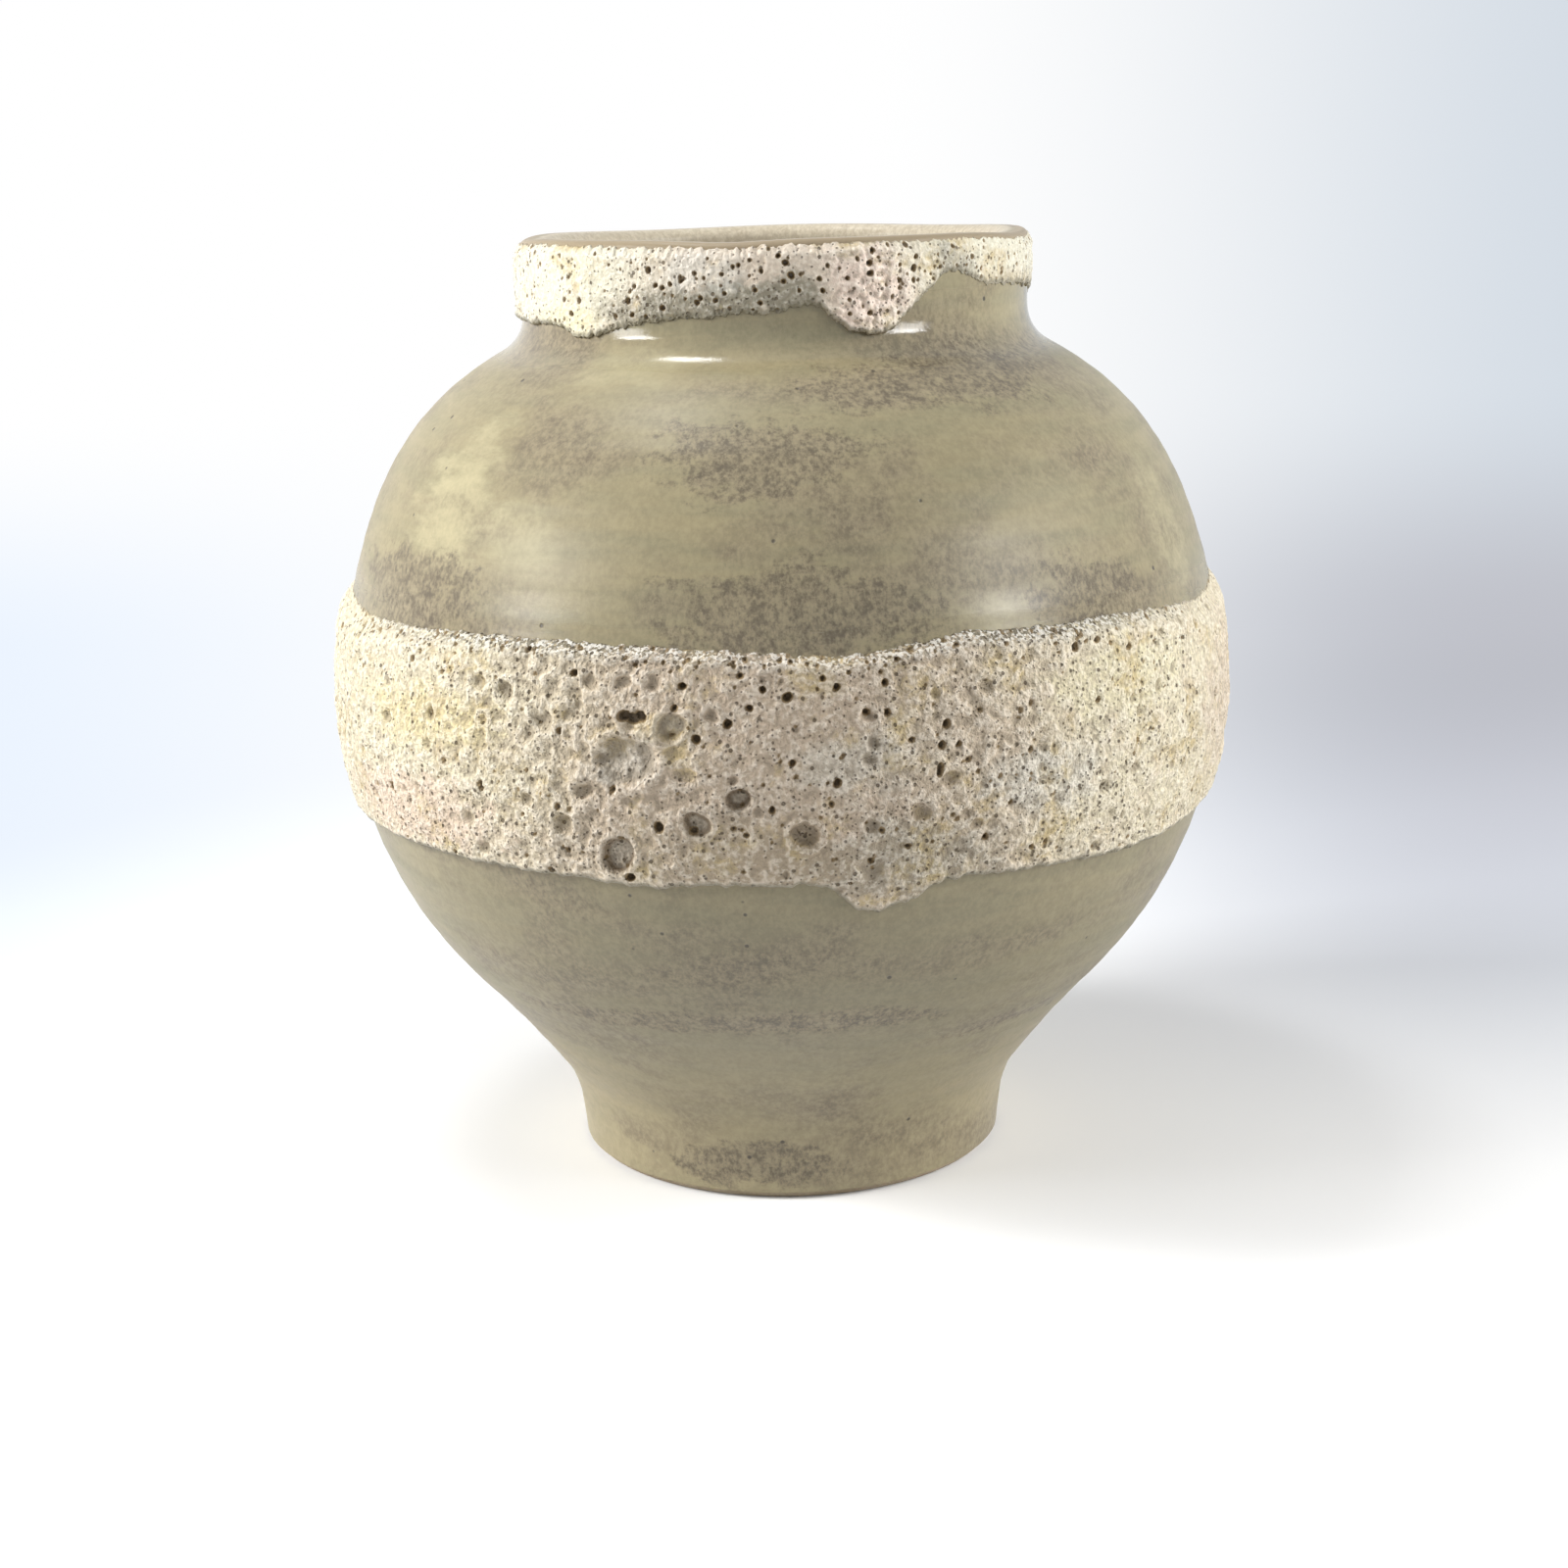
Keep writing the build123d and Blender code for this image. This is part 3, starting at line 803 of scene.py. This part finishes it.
class BaseGlaze(Finish):
    """Satin olive-tan glaze with grainy brown clouds, level streaks and small pinholes."""

    def __init__(self, name):
        super().__init__(name)
        self.cloud = self.noise(34.0, self.stretched((1, 1, 2.2)))
        self.streak = self.noise(30.0, self.stretched((1, 1, 8)), detail=3.0)
        self.fine = self.noise(1.0, self.stretched((1, 1, 0.75)), roughness=0.7)
        self.grain = self.fine * 0.6 + self.noise(3.2, roughness=0.65) * 0.4
        broken = self.noise(11.0, self.stretched((1, 1, 2.4)), detail=5.0, roughness=0.7)
        self.ragged = broken + (self.grain - 0.5) * 0.35

    def streaked(self):
        """The plain tan in streaks and clouds, with painted light paling it at the foot and painted shade
        darkening it under the belly, strongest at the front.
        """
        colour = self.mix(self.step(self.streak, 0.35, 0.68), streak_light, streak_dark)
        colour = self.mix(self.step(self.cloud, 0.42, 0.75) * 0.6, colour, cloud_tone)
        # Painted light: the foot paled as if lit from the bright floor
        foot = 1 - self.step(self.height, 20, 50)
        colour = self.mix(foot * 0.42, colour, foot_light_tone)
        # Painted shade under the belly, weaker towards the sides
        sideways = self.step(self.angle.math("ABSOLUTE"), 15, 60)
        under_belly_shade = (1 - self.step(self.height, 60, 100)) * (1 - foot)
        return self.mix(under_belly_shade * (0.62 - sideways * 0.4), colour, underside_shade_tone)

    def patched(self, colour):
        """The colour with pale patches at their places, partly the glaze's own tone and partly painted
        reflection of the lamps.
        """
        for strength, *place in pale_and_sheen_patches:
            # Partly painted reflection of the lamps
            colour = self.mix(self.patch(*place, self.ragged) * strength, colour, pale_and_sheen_tone)
        return colour

    def clouded(self, colour):
        """The colour under grainy brown, faint by chance and strong at the places of the clouds."""
        brown = self.step(self.cloud, 0.42, 0.70) * 0.5 + 0.3
        for place in brown_clouds:
            brown = brown.math("MAXIMUM", self.patch(*place, self.ragged))
        grains = self.mix(self.step(self.grain, 0.36, 0.64), grain_dark, grain_light)
        return self.mix(brown * 0.88, colour, grains)

    def pinholes(self):
        """One in a pinhole, else nought."""
        away, chance = self.cells(7.0)
        return (1 - self.step(away, 0.3, 0.6)) * self.step(chance, 0.5, 0.52)

    def lipped(self, colour):
        """The colour, browner over the outside of the lip and mottled beige on its inside."""
        outer = self.step(self.height, rim_height - 2.5, rim_height - 1.5)
        outer = outer * self.step(self.radius, 50.0, 52.0)
        colour = self.mix(outer * 0.85, colour, lip_tone)
        inner = self.step(self.height, rim_height - 10.0, rim_height - 4.0)
        inner = inner * (1 - self.step(self.radius, 49.0, 51.0))
        mottled = self.mix(self.step(self.fine, 0.30, 0.70), inner_lip_dark, inner_lip_light)
        return self.mix(inner * 0.9, colour, mottled)

    def roughness(self):
        """Satin, and glossier where the glaze pooled: under the collar's band and over the belly's."""
        under_collar = self.near(self.height, rim_height - 17.5, 3, 10)
        over_belly = self.near(self.height, belly_height + 25, 1, 10)
        return 0.40 + (self.streak - 0.5) * 0.15 - under_collar * 0.32 - over_belly * 0.14


def base_glaze():
    """The base glaze's material."""
    finish = BaseGlaze("olive_tan_glaze")
    colour = finish.clouded(finish.patched(finish.streaked()))
    pinhole = finish.pinholes()
    colour = finish.lipped(finish.mix(pinhole * 0.85, colour, pinhole_tone))
    normal = finish.bump(finish.grain * 0.25 + finish.ragged * 0.5 - pinhole, 0.10)
    return finish.give(Base_Color=colour, Roughness=finish.roughness(), Normal=normal, IOR=1.52)


class CraterGlaze(Finish):
    """Foamy glaze, creamier towards the sides, with tinted places, ochre stain and dark pores."""

    def __init__(self, name):
        super().__init__(name)
        self.broad = self.noise(24.0)
        self.patchy = self.noise(6.0, roughness=0.65)
        self.fine = self.noise(0.85, detail=2.0, roughness=0.5)
        self.grain = self.step(self.fine, 0.30, 0.70)
        self.stain = self.step(self.noise(12.0, detail=5.0, roughness=0.7), 0.50, 0.66)
        self.fringe = self.cells(0.55)[1]
        self.hollow = self.mark("hollow")
        self.edge = self.mark("upper_edge")
        self.above = self.mark("above_edge")

    def foam(self, middle, side, tints):
        """The plain tones from the middle to the sides, with tinted places."""
        sideways = self.step(self.angle.math("ABSOLUTE") + (self.broad - 0.5) * 40, 9, 44)
        colour = self.mix(sideways, middle, side)
        colour = self.mix(self.step(self.patchy, 0.45, 0.7) * 0.35, colour, foam_pink)
        colour = self.mix(self.step(self.broad, 0.54, 0.72) * 0.25, colour, foam_grey)
        for tint, strength, *place in tints:
            colour = self.mix(self.patch(*place, self.patchy) * strength, colour, tint)
        return colour

    def grained(self, colour, sand):
        """The colour with ochre stain, dark sand, painted highlights on the crests and painted shade in the
        hollows.
        """
        colour = self.mix(self.stain * (self.hollow * 0.6 + 0.3), colour, ochre_stain)
        colour = self.mix((1 - self.grain) * sand * 0.5, colour, sand_dark)
        # Painted highlight on the crests and painted shade in the hollows
        crest = 1 - self.step(self.hollow, 0.12, 0.42)
        colour = self.mix(self.grain * crest * 0.45, colour, crest_highlight)
        return self.mix(self.step(self.hollow, 0.45, 1.0) * 0.55, colour, hollow_shade)

    def cratered(self, colour):
        """The colour with painted shade on the craters' walls and grainy floors in them."""
        crater = self.mark("crater")
        floor = self.mix(self.grain, crater_floor_dark, crater_floor_light)
        # Painted shade on the crater walls
        colour = self.mix((1 - self.step(crater, -0.5, 0.1)) * 0.6, colour, crater_wall_shade)
        return self.mix((1 - self.step(crater, -1.7, -0.8)) * 0.85, colour, floor)

    def fringed(self, colour):
        """The colour with painted glints and dark glassy bits along the upper edge."""
        pale = self.step(self.fringe, 0.55, 0.65)
        dark = 1 - self.step(self.fringe, 0.32, 0.42)
        # Painted glints on the fringe
        colour = self.mix(self.edge * pale * 0.75, colour, fringe_glint)
        return self.mix(self.edge * dark * 0.85, colour, fringe_dark)

    def fine_pores(self, edge_pores):
        """One in a fine pore, else nought, and the same for the stained rings round the larger of them."""
        dense = self.step(self.noise(16.0, detail=3.0), 0.40, 0.62) * 0.3
        dense = dense + self.edge * 0.25 + (1 - self.step(self.above, 1.5, 6.0)) * edge_pores
        for change, *place in pore_density:
            dense = dense + self.patch(*place, self.patchy) * change
        small, chance = self.cells(1.9)
        tiny, tiny_chance = self.cells(0.95)
        chosen = self.step(chance + dense, 0.68, 0.74)
        small_pore = (1 - self.step(small, 0.28, 0.46)) * chosen
        tiny_pore = (1 - self.step(tiny, 0.14, 0.28)) * self.step(tiny_chance + dense, 0.62, 0.68)
        rings = (1 - self.step(small, 0.35, 0.9)) * chosen * self.stain
        return small_pore.math("MAXIMUM", tiny_pore * 0.8), rings

    def pored(self, colour):
        """The colour with brown sides and dark floors in the modelled pores."""
        pore = self.mark("pore")
        colour = self.mix((1 - self.step(pore, -0.06, 0.12)) * 0.85, colour, pore_side)
        return self.mix((1 - self.step(pore, -0.40, -0.12)) * 0.88, colour, pore_dark)

    def edged(self, colour):
        """The colour with a dark line along the lower edge: painted shadow under the overhanging edge,
        partly darker glaze.
        """
        return self.mix((1 - self.step(self.above, 0.6, 1.6)) * 0.7, colour, edge_shadow_line)


def crater_glaze(name, middle, side, plain_roughness, sand, edge_pores, tints):
    """A band's material, from its tones in the middle and at the sides.

    Sand is how strong the fine grain is, edge pores how many more fine pores there are along the lower
    edge, and tints are tinted places.
    """
    finish = CraterGlaze(name)
    colour = finish.grained(finish.foam(middle, side, tints), sand)
    colour = finish.fringed(finish.cratered(colour))
    holes, rings = finish.fine_pores(edge_pores)
    colour = finish.mix(rings * 0.5, colour, pore_ring)
    colour = finish.mix(holes * 0.85, colour, fine_pore_dark)
    colour = finish.edged(finish.pored(colour))
    glassy = finish.edge * (plain_roughness - 0.12)
    roughness = plain_roughness - glassy + (finish.fine - 0.5) * 0.2
    normal = finish.bump(finish.fine + finish.fringe * finish.edge * 0.6 - holes * 0.6, 0.8 * sand)
    return finish.give(Base_Color=colour, Roughness=roughness, Normal=normal, IOR=1.5)


def plain_ceramic(name, tones, plain_roughness, bump_depth, grain_size=0.8):
    """Bare clay, slip or liner glaze: two tones in grain and clouds, with level turning marks."""
    finish = Finish(name)
    cloud = finish.noise(14.0)
    grain = finish.noise(grain_size, detail=3.0)
    rings = finish.noise(2.4, finish.stretched((0.03, 0.03, 1)), detail=2.0, roughness=0.5)
    colour = finish.mix(finish.step(cloud + (grain - 0.5) * 0.9, 0.3, 0.7), *tones)
    roughness = plain_roughness + (grain - 0.5) * 0.15
    normal = finish.bump(grain * 0.4 + rings * 0.6, bump_depth)
    return finish.give(Base_Color=colour, Roughness=roughness, Normal=normal)


def dress(piece, material, slot, *nodes):
    """Gives a new piece its finish and puts it in the frame in place of CAD nodes."""
    piece.data.materials.clear()
    piece.data.materials.append(material)
    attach(piece, "root")
    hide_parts(*nodes)


def repaint(material, *nodes):
    """Gives CAD nodes that stay a finish."""
    for name in nodes:
        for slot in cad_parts[name].material_slots:
            slot.material = material


# Stage

def backdrop_colour(finish, sideways, slope):
    """White with painted shade of the backdrop: it greys to the right, with a soft darker level band behind
    the jar, blue at the left of it.

    Slope is how steeply the camera looks down there, so that the band is level in the picture.
    """
    behind = 1 - finish.step(slope, 0.24, 0.43)
    band = finish.step(slope, 0.09, 0.19) * behind
    right = finish.step(sideways, 0.03, 0.34)
    left = finish.step(sideways, -0.04, -0.36)
    # Painted shade of the backdrop
    colour = finish.mix(right * behind, (1, 1, 1), backdrop_right_shade)
    colour = finish.mix(finish.step(sideways, 0.03, 0.30) * band, colour, level_band_right_shade)
    return finish.mix(left * band, colour, level_band_left)


def pale_floor():
    """A floor that keeps the shadow near the jar and shines further out.

    Only camera, glossy and transmission rays see it that pale, so that it throws less light back.
    """
    bpy.ops.object.select_all(action="DESELECT")
    bpy.ops.mesh.primitive_circle_add(vertices=96, radius=floor_radius * mm, fill_type="NGON")
    floor = bpy.context.object
    floor.name = "floor"
    finish = Finish("pale_floor")
    away = (finish.back + camera_distance).math("MAXIMUM", 100)
    colour = backdrop_colour(finish, finish.across / away, camera_height / away)
    near = finish.mix(floor_shade, colour, (0, 0, 0))
    shaded = finish.mix(finish.seen(), bounce_grey, near)
    finish.give(Base_Color=shaded, Roughness=0.9, Specular_IOR_Level=0.1)
    shine = finish.node("ShaderNodeEmission", {}, {"Color": colour})
    share = finish.step(finish.radius - finish.across * 0.55, *floor_shine) * finish.seen()
    blend = {0: share, 1: finish.shader.outputs[0], 2: shine.outputs[0]}
    faded = finish.node("ShaderNodeMixShader", {}, blend)
    finish.set(finish.output.inputs["Surface"], faded.outputs[0])
    floor.data.materials.append(finish.material)


def room():
    """A pale room to look at, and a weaker even light from all round."""
    world = bpy.data.worlds.new("room")
    bpy.context.scene.world = world
    world.use_nodes = True
    nodes = Nodes(world.node_tree)
    direction = nodes.node("ShaderNodeTexCoord").outputs["Generated"]
    axes = nodes.node("ShaderNodeSeparateXYZ", {}, {0: direction})
    across, back, up = (Value(nodes, socket) for socket in axes.outputs)
    colour = backdrop_colour(nodes, across / back.math("MAXIMUM", 0.2), up * -1)
    light = nodes.node("ShaderNodeBackground", {}, {"Color": room_light, "Strength": room_strength})
    shown = nodes.node("ShaderNodeBackground", {}, {"Color": colour, "Strength": 1.0})
    blend = {0: nodes.seen(), 1: light.outputs[0], 2: shown.outputs[0]}
    faded = nodes.node("ShaderNodeMixShader", {}, blend)
    nodes.node("ShaderNodeOutputWorld", {}, {"Surface": faded.outputs[0]})


def softbox(name, angle, elevation, distance, width, height, power, mirrored):
    """A rectangular lamp that faces the jar, and that the glaze mirrors or doesn't."""
    out = Vector((
        sin(radians(angle)) * cos(radians(elevation)),
        -cos(radians(angle)) * cos(radians(elevation)),
        sin(radians(elevation)),
    ))
    bpy.ops.object.light_add(type="AREA", location=lamp_aim + out * distance)
    lamp = bpy.context.object
    lamp.name = name
    lamp.data.shape = "RECTANGLE"
    lamp.data.size = width
    lamp.data.size_y = height
    lamp.data.energy = power
    lamp.visible_glossy = mirrored
    lamp.rotation_euler = (-out).to_track_quat("-Z", "Y").to_euler()


def photo_camera():
    """The camera at the photograph's place: a little above the rim, looking down at the jar."""
    bpy.ops.object.camera_add(location=(camera_across * mm, -camera_distance * mm, camera_height * mm))
    camera = bpy.context.object
    camera.rotation_mode = "ZYX"
    camera.rotation_euler = (pi / 2 - camera_tilt, 0, camera_roll)
    camera.data.sensor_width = sensor_width
    camera.data.lens = lens_length
    bpy.context.scene.camera = camera


base_finish = base_glaze()
lower_coat, shoulder_coat = glaze_coats()
dress(lower_coat, base_finish, "base_glaze", "lower_glaze")
dress(shoulder_coat, base_finish, "base_glaze", "shoulder_glaze")
dress(lip_coat(), base_finish, "base_glaze", "lip_glaze")

belly_finish = crater_glaze(
    "belly_foam_glaze", belly_middle, belly_side,
    plain_roughness=0.5, sand=1.0, edge_pores=0.1, tints=belly_tints,
)
dress(belly_band(), belly_finish, "crater_glaze", "belly_crater_band")
neck_finish = crater_glaze(
    "neck_foam_glaze", neck_middle, neck_side,
    plain_roughness=0.26, sand=0.45, edge_pores=0.6, tints=neck_tints,
)
dress(neck_band(), neck_finish, "crater_glaze", "neck_crater_band")

clay_finish = plain_ceramic("bare_stoneware", clay_tones, plain_roughness=0.8, bump_depth=0.15)
repaint(clay_finish, "foot_ring", "lower_bowl", "upper_bowl", "neck_collar")
slip_finish = plain_ceramic("dried_slip", slip_tones, plain_roughness=0.85, bump_depth=0.1)
repaint(slip_finish, "foot_slip", "belly_slip", "neck_slip")
liner_finish = plain_ceramic(
    "beige_liner", liner_tones, plain_roughness=0.35, bump_depth=0.3, grain_size=1.8,
)
repaint(liner_finish, "liner_glaze")

pale_floor()
room()
for lamp_row in lamps:
    softbox(*lamp_row)
photo_camera()

bpy.context.scene.view_settings.view_transform = "Standard"
bpy.context.view_layer.update()
